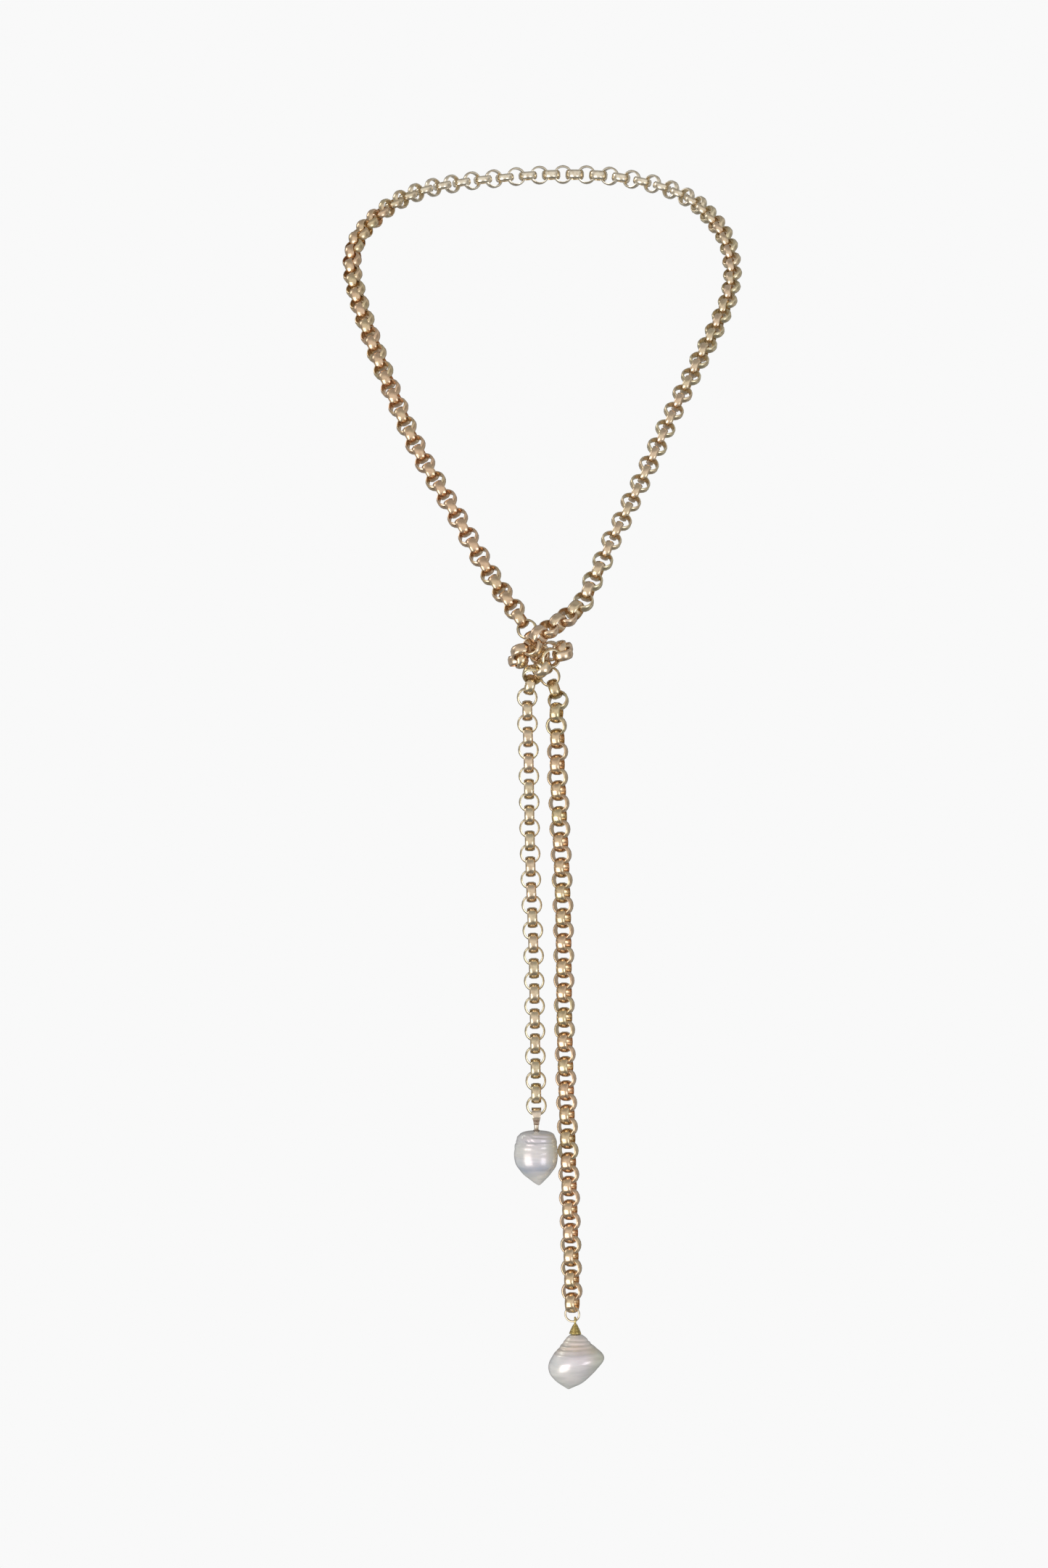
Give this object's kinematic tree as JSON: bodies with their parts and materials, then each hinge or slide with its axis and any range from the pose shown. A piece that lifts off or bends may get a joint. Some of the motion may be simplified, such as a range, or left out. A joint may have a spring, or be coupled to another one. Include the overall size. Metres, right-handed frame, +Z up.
{
  "type": "lariat necklace",
  "caption": "Long open chain of round flat-band links, knotted once at the front, with a baroque pearl hanging from each end.",
  "frame": {"origin": "on the chain's middle line at the nape, where the necklace rests on the back of the neck", "axes": "+X to the viewer's right, +Y from the front to the back of the neck, +Z up"},
  "size_m": [0.125, 0.162, 0.3779],
  "materials": {
    "gold_links": "polished rose gold",
    "gold_wire": "polished rose gold",
    "gold_fitting": "polished gold",
    "pearl_silver": "silver grey nacre",
    "pearl_pink": "pink grey nacre"
  },
  "bodies": {
    "chain": {"chain_right": "gold_links", "chain_left": "gold_links", "end_ring": "gold_wire"},
    "short_drop": {"bail_short": "gold_fitting", "pearl_short": "pearl_silver"},
    "long_drop": {"pin_long": "gold_fitting", "pearl_long": "pearl_pink"}
  },
  "joints": [
    {"name": "short_drop_swing", "type": "hinge", "parent": "chain", "child": "short_drop", "pos_m": [-0.0112, -0.15, -0.29525], "axis": [1, 0, 0], "range_deg": [-60, 60]},
    {"name": "long_drop_swing", "type": "hinge", "parent": "chain", "child": "long_drop", "pos_m": [0.00004, -0.15028, -0.35498], "axis": [1, 0, 0], "range_deg": [-60, 60]}
  ]
}
